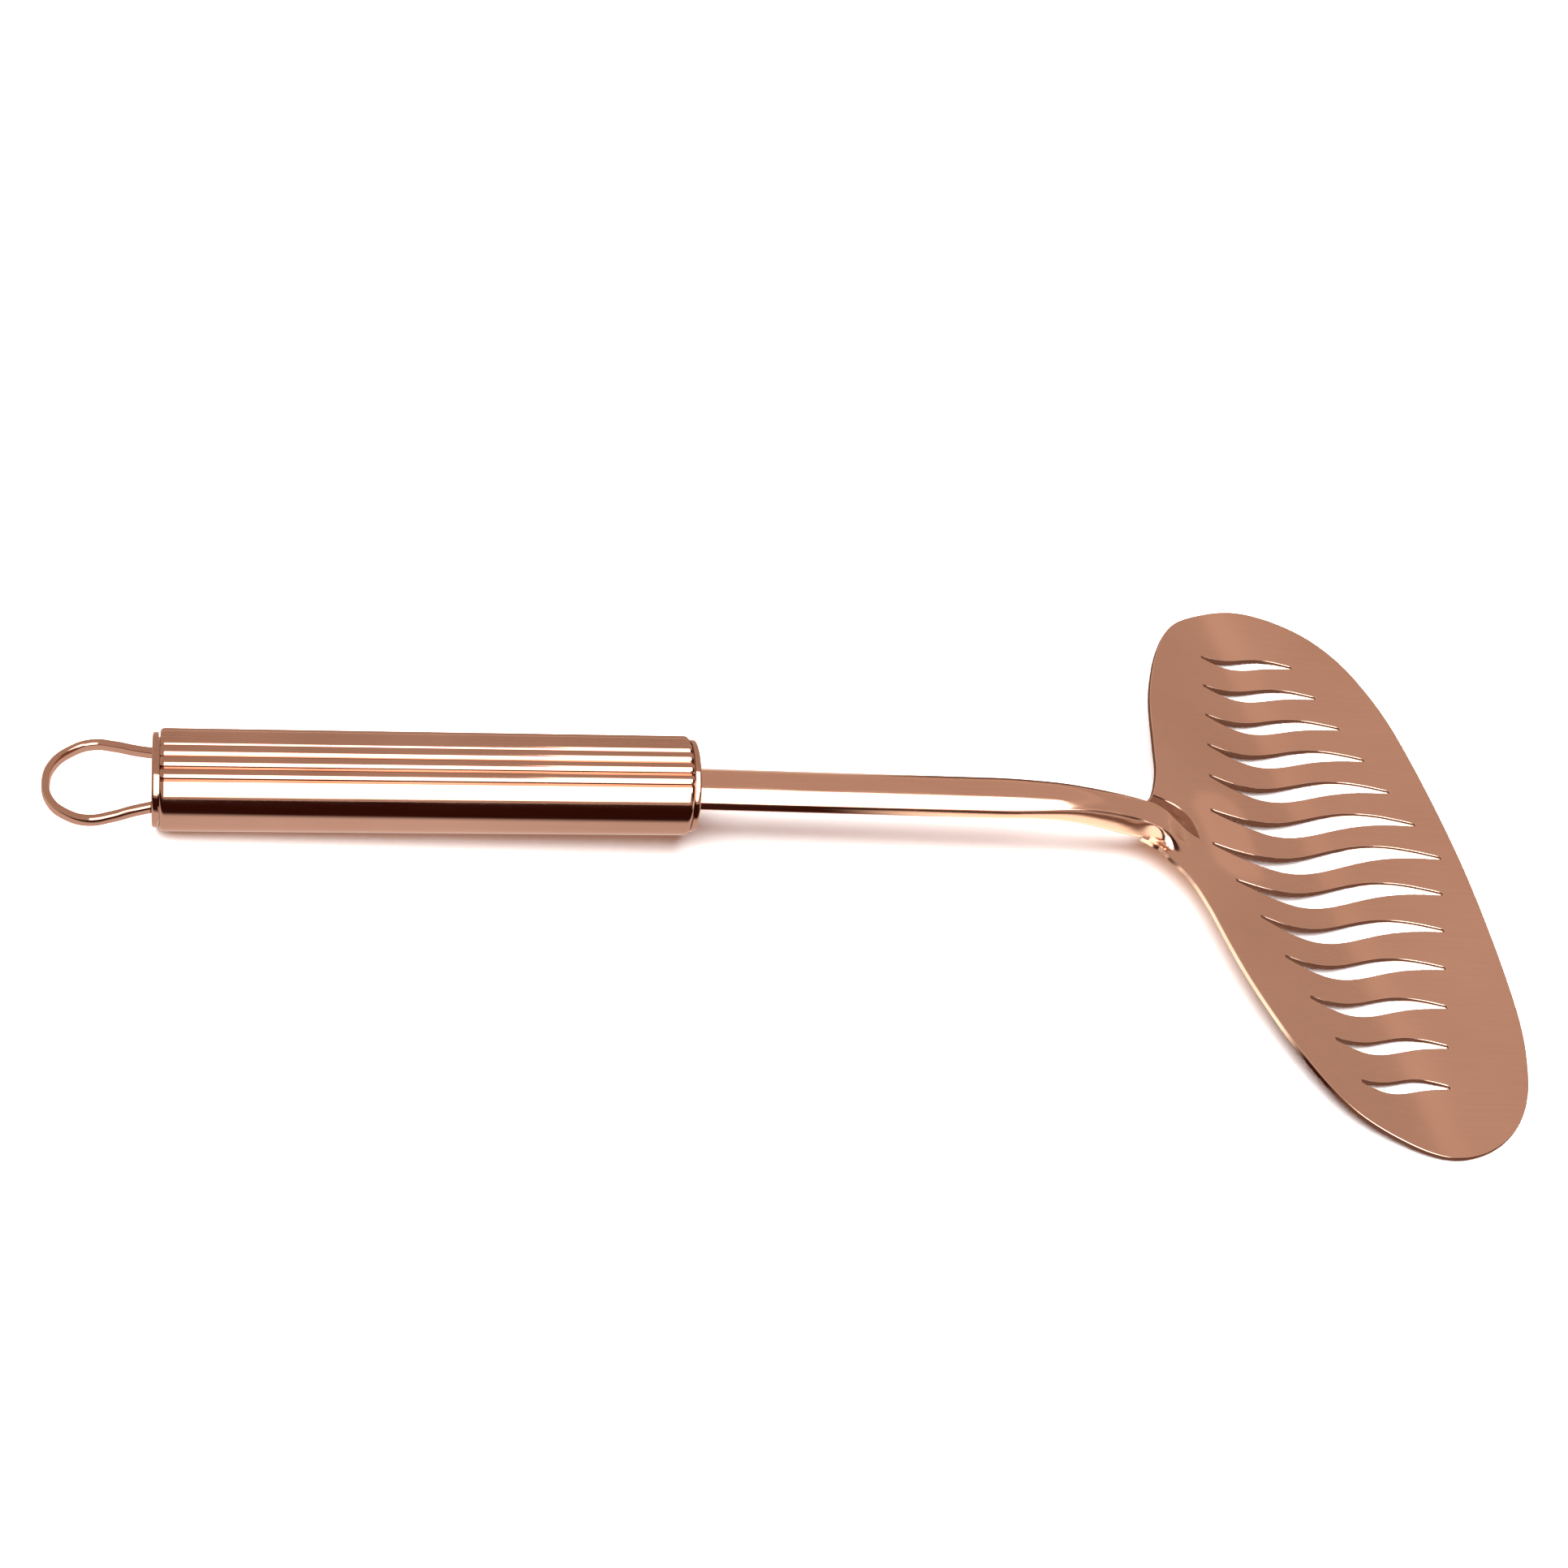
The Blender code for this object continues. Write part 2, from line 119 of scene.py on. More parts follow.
def copperFinish(name, look):
    material = bpy.data.materials.new(name)
    material.use_nodes = True
    tree = material.node_tree
    nodes = tree.nodes
    shader = nodes["Principled BSDF"]
    shader.inputs["Metallic"].default_value = 1.0
    shader.inputs["Specular Tint"].default_value = (*look["rim"], 1.0)
    place = nodes.new("ShaderNodeTexCoord")

    grain = nodes.new("ShaderNodeMapping")
    grain.inputs["Scale"].default_value = look["grainScale"]
    lines = nodes.new("ShaderNodeTexNoise")
    lines.inputs["Scale"].default_value = 1.0
    lines.inputs["Detail"].default_value = finishLook["lineDetail"]
    lines.inputs["Roughness"].default_value = finishLook["lineRough"]
    link(tree, place.outputs["Object"], grain.inputs["Vector"])
    link(tree, grain.outputs["Vector"], lines.inputs["Vector"])

    clouds = nodes.new("ShaderNodeTexNoise")
    clouds.inputs["Scale"].default_value = look["cloudScale"]
    clouds.inputs["Detail"].default_value = finishLook["cloudDetail"]
    link(tree, place.outputs["Object"], clouds.inputs["Vector"])

    tone = nodes.new("ShaderNodeValToRGB")
    for mark, spot, key in zip(tone.color_ramp.elements, finishLook["toneSpan"], ("deep", "pale")):
        mark.position = spot
        mark.color = (*look[key], 1.0)
    mix = nodes.new("ShaderNodeMath")
    mix.operation = "MULTIPLY_ADD"
    mix.inputs[1].default_value = look["lineTone"]
    link(tree, lines.outputs["Fac"], mix.inputs[0])
    link(tree, clouds.outputs["Fac"], mix.inputs[2])
    shift = nodes.new("ShaderNodeMath")
    shift.operation = "SUBTRACT"
    shift.inputs[1].default_value = look["lineTone"] / 2
    link(tree, mix.outputs[0], shift.inputs[0])
    link(tree, shift.outputs[0], tone.inputs["Fac"])
    link(tree, tone.outputs["Color"], shader.inputs["Base Color"])

    gloss = nodes.new("ShaderNodeMapRange")
    fromSpan(gloss, finishLook["glossSpan"])
    gloss.inputs["To Min"].default_value, gloss.inputs["To Max"].default_value = look["gloss"]
    link(tree, lines.outputs["Fac"], gloss.inputs["Value"])
    link(tree, gloss.outputs["Result"], shader.inputs["Roughness"])

    bump = nodes.new("ShaderNodeBump")
    bump.inputs["Strength"].default_value = look["bump"]
    bump.inputs["Distance"].default_value = look["depth"]
    link(tree, lines.outputs["Fac"], bump.inputs["Height"])
    link(tree, bump.outputs["Normal"], shader.inputs["Normal"])
    return material


def pressedRecessAndShade(material, look):
    # the crisp rim of the far valley as a bump, and painted shade that darkens its floor, over the
    # valley that is sunk in the mesh
    tree = material.node_tree
    nodes = tree.nodes
    shader = nodes["Principled BSDF"]

    def step(kind, a, b):
        node = nodes.new("ShaderNodeMath")
        node.operation = kind
        for socket, value in zip(node.inputs, (a, b)):
            if isinstance(value, (int, float)):
                socket.default_value = value
            elif value is not None:
                link(tree, value, socket)
        return node.outputs[0]

    def ramp(value, low, high):
        node = nodes.new("ShaderNodeMapRange")
        node.interpolation_type = "SMOOTHSTEP"
        fromSpan(node, (low, high))
        link(tree, value, node.inputs["Value"])
        return node.outputs["Result"]

    place = nodes.new("ShaderNodeTexCoord")
    axes = nodes.new("ShaderNodeSeparateXYZ")
    link(tree, place.outputs["Object"], axes.inputs[0])
    offX = step("SUBTRACT", axes.outputs["X"], look["centre"][0])
    offY = step("SUBTRACT", axes.outputs["Y"], look["centre"][1])
    shares = [step("DIVIDE", off, half) for off, half in zip((offX, offY), look["half"])]
    outX, outY = [step("POWER", step("ABSOLUTE", share, None), look["square"]) for share in shares]
    inside = ramp(step("ADD", outX, outY), look["rim"][1], look["rim"][0])
    ridge = step("ADD", offY, step("MULTIPLY", offX, look["ridgeSlope"]))
    beside = ramp(ridge, look["ridge"], look["ridge"] + look["ridgeSoft"])
    sunk = step("MULTIPLY", inside, beside)
    bump = nodes.new("ShaderNodeBump")
    bump.invert = True
    bump.inputs["Distance"].default_value = look["depth"]
    link(tree, sunk, bump.inputs["Height"])
    held = shader.inputs["Normal"].links[0].from_socket
    link(tree, held, bump.inputs["Normal"])
    link(tree, bump.outputs["Normal"], shader.inputs["Normal"])
    # painted shade: inside the rim the base colour is multiplied by the darker tint
    tint = nodes.new("ShaderNodeMix")
    tint.data_type = "RGBA"
    tint.blend_type = "MULTIPLY"
    tint.inputs["B"].default_value = (*look["tint"], 1)
    held = shader.inputs["Base Color"].links[0].from_socket
    link(tree, held, tint.inputs["A"])
    link(tree, sunk, tint.inputs["Factor"])
    link(tree, tint.outputs["Result"], shader.inputs["Base Color"])


satinLook = {
    "deep": (0.662, 0.390, 0.287), "pale": (0.752, 0.462, 0.350), "rim": (0.95, 0.82, 0.74),
    "grainScale": (60.0, 1400.0, 1400.0), "cloudScale": 18.0, "lineTone": 0.35,
    "gloss": (0.09, 0.15), "bump": 0.2, "depth": 0.00001,
}
# the handle's polished copper is a darker copy of the blade's: its low roughness is the real
# polish, its darker colour is painted shade that dims the reflections in the handle
polishedShadedLook = {
    "deep": (0.50, 0.283, 0.205), "pale": (0.60, 0.355, 0.268), "rim": (0.95, 0.82, 0.75),
    "grainScale": (40.0, 900.0, 900.0), "cloudScale": 30.0, "lineTone": 0.25,
    "gloss": (0.06, 0.12), "bump": 0.1, "depth": 0.000004,
}
# the cut edge and the strip beside it: rougher copper, paler than the blade as a painted highlight
# that brightens the edge line
edgeSheenLook = {
    "deep": (0.70, 0.45, 0.34), "pale": (0.82, 0.57, 0.46), "rim": (0.95, 0.85, 0.78),
    "grainScale": (300.0, 300.0, 300.0), "cloudScale": 60.0, "lineTone": 0.3,
    "gloss": (0.10, 0.20), "bump": 0.1, "depth": 0.000004,
}

satinCopper = copperFinish("satinCopper", satinLook)
# far valley: the rim as a bump, and painted shade, the tint that darkens the copper on its floor
recessBumpAndShade = {
    "centre": (0.0854, 0.0003), "half": (0.0106, 0.0099), "square": 2.8, "rim": (0.90, 1.06),
    "ridge": 0.0026, "ridgeSlope": 0.36, "ridgeSoft": 0.0005,
    "depth": 0.0005, "tint": (0.54, 0.43, 0.39),
}
pressedRecessAndShade(satinCopper, recessBumpAndShade)
polishedShadedCopper = copperFinish("polishedShadedCopper", polishedShadedLook)
edgeSheenCopper = copperFinish("edgeSheenCopper", edgeSheenLook)

# the pressed sheet, drawn flat with its slots, scored finely round the neck, pressed and thickened
sheetLook = {
    "thickness": 0.0010, "tilt": -math.asin(0.0457726), "place": (-0.141192, 0.0, 0.0109885),
    "tubeLength": 0.1115, "tubeRadius": 0.0110, "tangLength": 0.0495,
    "shankLength": 0.1145, "shankRise": 0.0013, "shankSlope": -0.025, "shankHalf": 0.0052,
    "neckHalf": 0.0035, "narrowLength": 0.0280, "narrowEnd": 0.0130, "deepenShare": 0.7,
    "domeRise": 0.0009, "crownRise": 0.0025, "crownPoint": 0.6,
    "shankWall": 0.0021, "neckWall": 0.0047, "flare": 0.33, "bendLength": 0.0280, "fadeOut": 3.0,
    "bladeLength": 0.0810, "bladeHalf": 0.0899, "bladeDrop": 0.0155, "flatLength": 0.0146,
    "valleyStart": 0.0085, "farValley": 0.0116, "nearValley": 0.0038, "valleyEnd": 0.0030,
    "valleyMouth": 0.0100, "valleyTaper": 0.0086, "valleySide": 0.0042, "valleyFloor": 0.0014,
    "valleyDepth": 0.0007, "nearFloor": 0.0040, "nearFloorSpan": (-0.004, 0.003),
    "nearSpread": 0.0014, "nearSpreadEnd": 0.001, "nearSettle": (-0.002, 0.010),
    "dip": 0.0030, "dipWidth": 0.0080, "dipReach": 0.0290, "dipLength": 0.0290, "dipHold": 0.1,
    "slotsEachSide": 6, "slotSideMargin": 0.0202, "slotRear": 0.0139, "slotRearStep": 0.0028,
    "slotFront": 0.0049, "slotFrontStep": 0.0032, "slotNearStep": 0.0038, "slotWidth": 0.0057,
    "slotEnd": 0.0008, "slotSwellPower": 0.6, "slotWave": 0.0045, "slotWavePower": 1.4,
    "slotTurn": (0.02, 0.97, 0.12), "slotShift": -0.0010, "slotPoints": 27, "outlineSteps": 9,
    "edgeWidth": 0.00020, "edgeDrop": 0.00014, "edgeRoll": 58.0, "edgeCalm": 6, "crease": 34.0,
    "corners": (
        (-0.030, 0.080), (0.015, 0.126), (0.047, 0.204), (0.065, 0.309), (0.118, 0.519),
        (0.210, 0.734), (0.313, 0.881), (0.459, 0.969), (0.589, 1.000), (0.720, 0.966),
        (0.835, 0.875), (0.917, 0.726), (0.973, 0.480), (1.000, 0.000),
    ),
}
# how finely the blank is scored before it is pressed, and the gaps below which points are joined
scoreLook = {
    "shankGrid": 0.0014, "neckGrid": 0.0003, "bladeGrid": 0.0010, "dipGrid": 0.0012,
    "crownLines": 19, "wallLines": 12, "wallLead": 0.0060, "neckPast": 0.0135, "neckSide": 0.0200,
    "dipMargin": 1.1, "snap": 0.00002, "join": 0.000001, "straight": 0.01, "sliver": 0.00004,
    "nudge": 0.00001, "tiny": 0.0000001,
}
sheet = SimpleNamespace(**sheetLook)
score = SimpleNamespace(**scoreLook)
neckX = sheet.tubeLength + sheet.shankLength
frontX = neckX + sheet.bladeLength
flatX = frontX - sheet.flatLength
tipX = neckX + sheet.farValley
neckStart = neckX - sheet.valleyStart
narrowX = neckX - sheet.narrowEnd - sheet.narrowLength
tangX = sheet.tubeLength - sheet.tangLength
bendX = neckX - sheet.bendLength
bladeBend = sheet.bladeDrop / (flatX - neckX) ** 2
neckSlope = -2.0 * bladeBend * (flatX - neckX)
bendHeight = sheet.shankRise + sheet.shankSlope * (bendX - sheet.tubeLength)
neckHeight = bendHeight + 0.5 * (sheet.shankSlope + neckSlope) * sheet.bendLength
bladeFloor = neckHeight - sheet.bladeDrop - sheet.thickness
reach = 2.0 * bladeBend * flatX
landSlope = math.sqrt(reach ** 2 + 4.0 * bladeBend * (bladeFloor + sheet.tubeRadius)) - reach
landX = flatX + landSlope / (2.0 * bladeBend)
blankWall = sheet.flare * sheet.neckWall
blankHalf = sheet.neckHalf + blankWall


def ease(value, start, end):
    t = np.clip((value - start) / (end - start), 0.0, 1.0)
    return t * t * (3.0 - 2.0 * t)


def centreHeight(x):
    # the middle line: straight shank, bend, dished blade and a straight land at its front
    straight = sheet.shankRise + sheet.shankSlope * (x - sheet.tubeLength)
    t = x - bendX
    bending = (neckSlope - sheet.shankSlope) * t * t / (2.0 * sheet.bendLength)
    bent = bendHeight + sheet.shankSlope * t + bending
    dish = bladeBend * (flatX - np.minimum(x, landX)) ** 2 + landSlope * np.maximum(x - landX, 0.0)
    bladeHeight = neckHeight - sheet.bladeDrop + dish
    return np.where(x < bendX, straight, np.where(x < neckX, bent, bladeHeight))


def crownHalf(x):
    # half the shank's arched top, narrowed at the neck and pointed where it ends in the blade
    narrowed = neckX - sheet.narrowEnd
    narrow = (sheet.shankHalf - sheet.neckHalf) * ease(x, narrowed - sheet.narrowLength, narrowed)
    point = sheet.crownPoint * sheet.neckHalf * ease(x, tipX - 2.0 * sheet.valleyEnd, tipX)
    return sheet.shankHalf - narrow - point


def wallDrop(x, tip):
    # how far the shank's side walls, and then the valleys, lie below the crown
    deepened = neckX - sheet.deepenShare * sheet.narrowEnd
    gain = ease(x, deepened - sheet.narrowLength, deepened)
    deep = sheet.shankWall + (sheet.neckWall - sheet.shankWall) * gain
    deep = deep + (sheet.valleyDepth - deep) * ease(x, neckStart, neckX)
    return deep * (1.0 - ease(x, tip - sheet.valleyEnd, tip))


def pressSheet(x, flatY):
    # moves a point of the flat blank to its place on the pressed sheet, +Y being the far side
    side = np.abs(flatY)
    far = flatY > 0.0
    spread = sheet.nearSpread * ease(x, neckStart, neckX + sheet.nearSpreadEnd)
    crown = crownHalf(x) + np.where(far, 0.0, spread)
    floorWide = sheet.valleyFloor * ease(x, neckStart, tipX)
    floorFrom, floorTo = sheet.nearFloorSpan
    nearWide = sheet.nearFloor * ease(x, neckX + floorFrom, neckX + floorTo)
    wall = sheet.flare * wallDrop(x, tipX) + np.where(far, floorWide, nearWide)
    onCrown = side * crown / sheet.neckHalf
    onWall = crown + (side - sheet.neckHalf) * wall / blankWall
    fade = 1.0 - ease(side, blankHalf, sheet.fadeOut * blankHalf)
    beyond = side + (crown + wall - blankHalf) * fade
    shaped = np.where(side < sheet.neckHalf, onCrown, np.where(side < blankHalf, onWall, beyond))
    y = shaped + (side - shaped) * ease(x, tipX - sheet.valleyEnd, tipX + sheet.valleyEnd)
    dome = sheet.domeRise * (1.0 - ease(x, neckStart - sheet.valleyTaper, tipX - sheet.valleyEnd))
    arch = (sheet.crownRise - sheet.domeRise) * (1.0 - ease(x, narrowX, neckStart))
    across = np.minimum(y / crown, 1.0) ** 2
    inValley = ease(x, neckStart, neckX)
    t = np.clip((y - crown) / wall, 0.0, 1.0)
    falls = (1.0 - inValley) * (1.0 - np.cos(0.5 * math.pi * t)) + inValley * ease(t, 0.0, 1.0)
    tip = np.where(far, tipX, neckX + sheet.nearValley)
    run = np.clip((x - tip + sheet.valleyTaper) / sheet.valleyTaper, 0.0, 1.0)
    rim = sheet.valleyMouth * np.sqrt(1.0 - run ** 2)
    climbs = ease(y, rim - sheet.valleySide, rim) * inValley
    lean = ease(np.copysign(y, flatY), -crown, crown)
    settleFrom, settleTo = sheet.nearSettle
    settlesNear = ease(x, neckX + settleFrom, neckX + settleTo)
    settles = ease(x, neckX, tipX) * lean + settlesNear * (1.0 - lean)
    sinks = inValley * falls + settles * (1.0 - falls)
    dipFrom = neckX + sheet.dipHold * sheet.dipLength
    sinks = sinks * (1.0 - ease(x, dipFrom, neckX + sheet.dipLength))
    sinks = sinks * (1.0 - ease(y, sheet.dipWidth, sheet.dipReach))
    z = centreHeight(x) - dome * across + arch * (1.0 - across)
    z = z - wallDrop(x, tip) * falls * (1.0 - climbs) - sheet.dip * sinks
    return np.column_stack((x, np.copysign(y, flatY), z))


def halfOutline():
    # the far half of the blank, from the tang to the middle of the front edge
    corners = [
        np.array((neckX + sheet.bladeLength * u, sheet.bladeHalf * v)) for u, v in sheet.corners
    ]
    before = np.array((2.0 * corners[0][0] - corners[1][0], blankHalf))
    start = np.array((before[0] - sheet.valleyFloor, blankHalf))
    knots = [start, before] + corners + [corners[-2] * np.array((1.0, -1.0))]
    path = [np.array((tangX, blankHalf))]
    for a, b, c, d in zip(knots, knots[1:], knots[2:], knots[3:]):
        for t in np.arange(sheet.outlineSteps) / sheet.outlineSteps:
            path.append(0.5 * (
                2.0 * b + (c - a) * t + (2.0 * a - 5.0 * b + 4.0 * c - d) * t ** 2
                + (3.0 * b - a - 3.0 * c + d) * t ** 3
            ))
    return path + [corners[-1]]


def slotOutline(index):
    # one wavy slot, shorter and calmer the further it lies from the middle
    pitch = (sheet.bladeHalf - sheet.slotSideMargin) / sheet.slotsEachSide
    longest = sheet.bladeLength - sheet.slotRear - sheet.slotFront
    rear = neckX + sheet.slotRear + sheet.slotRearStep * abs(index)
    frontStep = sheet.slotFrontStep if index > 0 else sheet.slotNearStep
    front = frontX - sheet.slotFront - frontStep * abs(index)
    share = (front - rear) / longest
    along = 0.5 * (1.0 - np.cos(np.linspace(0.0, math.pi, sheet.slotPoints)))
    turnStart, turnRun, turnEase = sheet.slotTurn
    turn = 2.0 * math.pi * (turnStart + turnRun * along - turnEase * along ** 4)
    wave = sheet.slotWave * share ** sheet.slotWavePower * np.sin(turn)
    centre = pitch * index + sheet.slotShift - wave
    widest = (sheet.slotWidth - sheet.slotEnd) * share ** sheet.slotSwellPower
    half = 0.5 * (sheet.slotEnd + widest * np.sin(math.pi * along))
    x = rear + (front - rear) * along
    farEdge = np.column_stack((x, centre + half))
    nearEdge = np.column_stack((x, centre - half))
    return np.vstack((farEdge, nearEdge[::-1]))


def addOutline(curve, path):
    line = curve.splines.new("POLY")
    line.points.add(len(path) - 1)
    line.use_cyclic_u = True
    for point, (x, y) in zip(line.points, path):
        point.co = (x, y, 0.0, 1.0)


def scoreLines(shape, alongY, places, fromX, toX, halfSpan):
    # cuts the faces whose middle lies in the region at each place
    normal = (1.0, 0.0, 0.0) if alongY else (0.0, 1.0, 0.0)
    for mark in places:
        cutFaces = set()
        for face in shape.faces:
            middle = face.calc_center_bounds()
            if fromX < middle.x < toX and abs(middle.y) < halfSpan:
                cutFaces.update([face, *face.edges, *face.verts])
        point = (mark, 0.0, 0.0) if alongY else (0.0, mark, 0.0)
        bmesh.ops.bisect_plane(
            shape, geom=list(cutFaces), dist=score.snap, plane_co=point, plane_no=normal,
        )


blank = bpy.data.curves.new("sheetBlank", "CURVE")
blank.dimensions = "2D"
blank.fill_mode = "BOTH"
sidePath = halfOutline()
otherSide = [point * np.array((1.0, -1.0)) for point in reversed(sidePath[:-1])]
addOutline(blank, sidePath + otherSide)
for index in range(-sheet.slotsEachSide, sheet.slotsEachSide + 1):
    addOutline(blank, slotOutline(index))
blankItem = bpy.data.objects.new("sheetBlank", blank)
scene.collection.objects.link(blankItem)
pickOnly(blankItem)
bpy.ops.object.convert(target="MESH")
blade = bpy.context.object
blade.name = "bladeAndShank"
blade.data.name = "bladeAndShank"

shape = bmesh.new()
shape.from_mesh(blade.data)
bmesh.ops.remove_doubles(shape, verts=shape.verts, dist=score.join)
bmesh.ops.dissolve_limit(shape, angle_limit=score.straight, verts=[], edges=shape.edges)
bmesh.ops.inset_region(
    shape, faces=shape.faces, use_boundary=True, use_even_offset=True, thickness=sheet.edgeWidth,
)
wallEnd = neckStart - score.wallLead
neckEnd = neckX + score.neckPast
neckSide = score.neckSide
dipEnd = neckX + score.dipMargin * sheet.dipLength
dipSide = score.dipMargin * sheet.dipReach
# lines across the sheet, the region's borders first so that no long strip is left uncut
scoreLines(shape, True, (narrowX, wallEnd, neckEnd), tangX, frontX, sheet.bladeHalf)
scoreLines(shape, False, (-neckSide, neckSide), wallEnd, neckEnd, sheet.bladeHalf)
for grid, first, last, stop, halfSpan in (
    (score.shankGrid, narrowX, wallEnd, wallEnd, blankHalf),
    (score.neckGrid, wallEnd, neckEnd, neckEnd, neckSide),
    (score.bladeGrid, neckX, landX, frontX, sheet.bladeHalf),
):
    scoreLines(shape, True, np.arange(first, last, grid)[1:], first, stop, halfSpan)
# lines along the sheet, over the crown, down the walls, over the neck and over the dip
crownMarks = np.linspace(-sheet.neckHalf, sheet.neckHalf, score.crownLines)
wallMarks = np.linspace(sheet.neckHalf, blankHalf, score.wallLines)[1:]
besideMarks = np.arange(blankHalf, neckSide, score.neckGrid)[1:]
dipMarks = np.arange(-dipSide, dipSide, score.dipGrid)[1:]
outerMarks = np.arange(neckSide, dipSide, score.dipGrid)[1:]
scoreLines(shape, False, crownMarks, tangX, neckEnd, blankHalf)
for way in (-1.0, 1.0):
    scoreLines(shape, False, way * wallMarks, tangX, neckEnd, neckSide)
    scoreLines(shape, False, way * besideMarks, wallEnd, neckEnd, neckSide)
scoreLines(shape, False, (-dipSide, dipSide), neckStart, dipEnd, sheet.bladeHalf)
scoreLines(shape, False, dipMarks, neckEnd, dipEnd, dipSide)
for way in (-1.0, 1.0):
    scoreLines(shape, False, way * outerMarks, neckStart, neckEnd, dipSide)
bmesh.ops.triangulate(shape, faces=shape.faces)
bmesh.ops.dissolve_degenerate(shape, edges=shape.edges, dist=score.sliver)

# the press, with the true normals of the pressed surface
plan = np.array([v.co[:2] for v in shape.verts])
planX, planY = plan[:, 0], plan[:, 1]
pressed = pressSheet(planX, planY)
alongX = pressSheet(planX + score.nudge, planY) - pressSheet(planX - score.nudge, planY)
alongY = pressSheet(planX, planY + score.nudge) - pressSheet(planX, planY - score.nudge)
upright = np.cross(alongX, alongY)
upright = upright / np.linalg.norm(upright, axis=1)[:, None]
onRim = np.array([v.is_boundary for v in shape.verts])

# the way out at every cut edge, smoothed along the outline, for edges that look rolled
shape.verts.index_update()
outward = np.zeros((len(plan), 2))
for edge in shape.edges:
    if edge.is_boundary:
        ends = [v.index for v in edge.verts]
        inner = np.mean([plan[v.index] for v in edge.link_faces[0].verts], axis=0)
        along = (plan[ends[1]] - plan[ends[0]]) / max(edge.calc_length(), score.tiny)
        away = 0.5 * (plan[ends[0]] + plan[ends[1]]) - inner
        away = away - along * np.dot(away, along)
        outward[ends] += away / max(np.linalg.norm(away), score.tiny)
rimEdges = np.array([
    [v.index for v in edge.verts] for edge in shape.edges if edge.is_boundary
])
for turn in range(sheet.edgeCalm):
    calmed = outward.copy()
    np.add.at(calmed, rimEdges[:, 0], outward[rimEdges[:, 1]])
    np.add.at(calmed, rimEdges[:, 1], outward[rimEdges[:, 0]])
    outward = calmed / np.maximum(np.linalg.norm(calmed, axis=1), score.tiny)[:, None]
sideways = alongX * outward[:, :1] + alongY * outward[:, 1:]
sideways = sideways / np.maximum(np.linalg.norm(sideways, axis=1), score.tiny)[:, None]
roll = math.radians(sheet.edgeRoll)
rolled = upright * math.cos(roll) + sideways * math.sin(roll)

# the pressed sheet is thickened, its cut edge eased down and the whole turned into place
for face in shape.faces:
    face.material_index = int(any(v.is_boundary for v in face.verts))
for vert, spot in zip(shape.verts, pressed):
    vert.co = spot
bmesh.ops.recalc_face_normals(shape, faces=shape.faces)
if sum(face.normal.z for face in shape.faces) < 0.0:
    bmesh.ops.reverse_faces(shape, faces=shape.faces)
shape.to_mesh(blade.data)
shape.free()
blade.data.materials.append(satinCopper)
# second finish, on the cut edge: paler copper as a painted highlight
blade.data.materials.append(edgeSheenCopper)
shell = blade.modifiers.new("sheet", "SOLIDIFY")
shell.thickness = sheet.thickness
shell.offset = -1.0
shell.use_quality_normals = True
shell.material_offset_rim = 1
applyAll(blade)
for number, lift in enumerate(upright):
    if onRim[number]:
        blade.data.vertices[number].co -= Vector(lift) * sheet.edgeDrop
turned = Matrix.Rotation(sheet.tilt, 4, "Y")
blade.data.transform(Matrix.Translation(sheet.place) @ turned)
bpy.ops.object.shade_smooth_by_angle(angle=math.radians(sheet.crease))
spin = np.array(turned.to_3x3()).T
upright = upright @ spin
rolled = rolled @ spin
sideways = sideways @ spin

# each face corner's normal: true on top and below, rolled at the rim, sideways on the cut edge
count = len(upright)
cornerNormals = []
for face in blade.data.polygons:
    above = [number < count for number in face.vertices]
    for number, top in zip(face.vertices, above):
        if any(above) and not all(above):
            cornerNormals.append(tuple(sideways[number % count]))
        elif top:
            cornerNormals.append(tuple(rolled[number] if onRim[number] else upright[number]))
        else:
            cornerNormals.append(tuple(-upright[number - count]))
blade.data.normals_split_custom_set(cornerNormals)
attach(blade, "root")
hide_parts("blade_shank")
print("pressed sheet", len(blade.data.polygons), [round(v, 5) for v in blade.dimensions])

# tube, caps and loop: the solids themselves, dressed
pieceList = {
    "handleTube": {
        "node": "handle_tube", "slot": "polished_tube", "crease": 24, "finish": polishedShadedCopper,
    },
    "frontCap": {
        "node": "front_cap", "slot": "polished_cap", "crease": 30, "finish": polishedShadedCopper,
    },
    "rearCap": {
        "node": "rear_cap", "slot": "polished_cap_rear", "crease": 30, "finish": polishedShadedCopper,
    },
    "hangingLoop": {
        "node": "hanging_loop", "slot": "polished_band", "crease": 40, "finish": polishedShadedCopper,
    },
}
for name, kit in pieceList.items():
    piece = dressedCopy(kit["node"], name, kit["crease"])
    piece.data.materials.append(kit["finish"])
    print("dressed", name, len(piece.data.polygons))

# floor, paler to the camera and in the polish than to the light that bounces off it
floorLook = {"size": 8.0, "tone": (0.70, 0.70, 0.70), "seen": 1.42, "rough": 0.9}
bpy.ops.object.select_all(action="DESELECT")
bpy.ops.mesh.primitive_plane_add(size=floorLook["size"], location=(0, 0, 0))
floor = bpy.context.object
floor.name = "studioFloor"
paper = bpy.data.materials.new("paleFloor")
paper.use_nodes = True
paperTree = paper.node_tree
paperShader = paperTree.nodes["Principled BSDF"]
paperShader.inputs["Roughness"].default_value = floorLook["rough"]
paperShader.inputs["Specular IOR Level"].default_value = 0.0
rays = paperTree.nodes.new("ShaderNodeLightPath")
either = paperTree.nodes.new("ShaderNodeMath")
either.operation = "MAXIMUM"
blendTone = paperTree.nodes.new("ShaderNodeMix")
blendTone.data_type = "RGBA"
seenTone = [t * floorLook["seen"] for t in floorLook["tone"]]
blendTone.inputs["A"].default_value = (*floorLook["tone"], 1)
blendTone.inputs["B"].default_value = (*seenTone, 1)
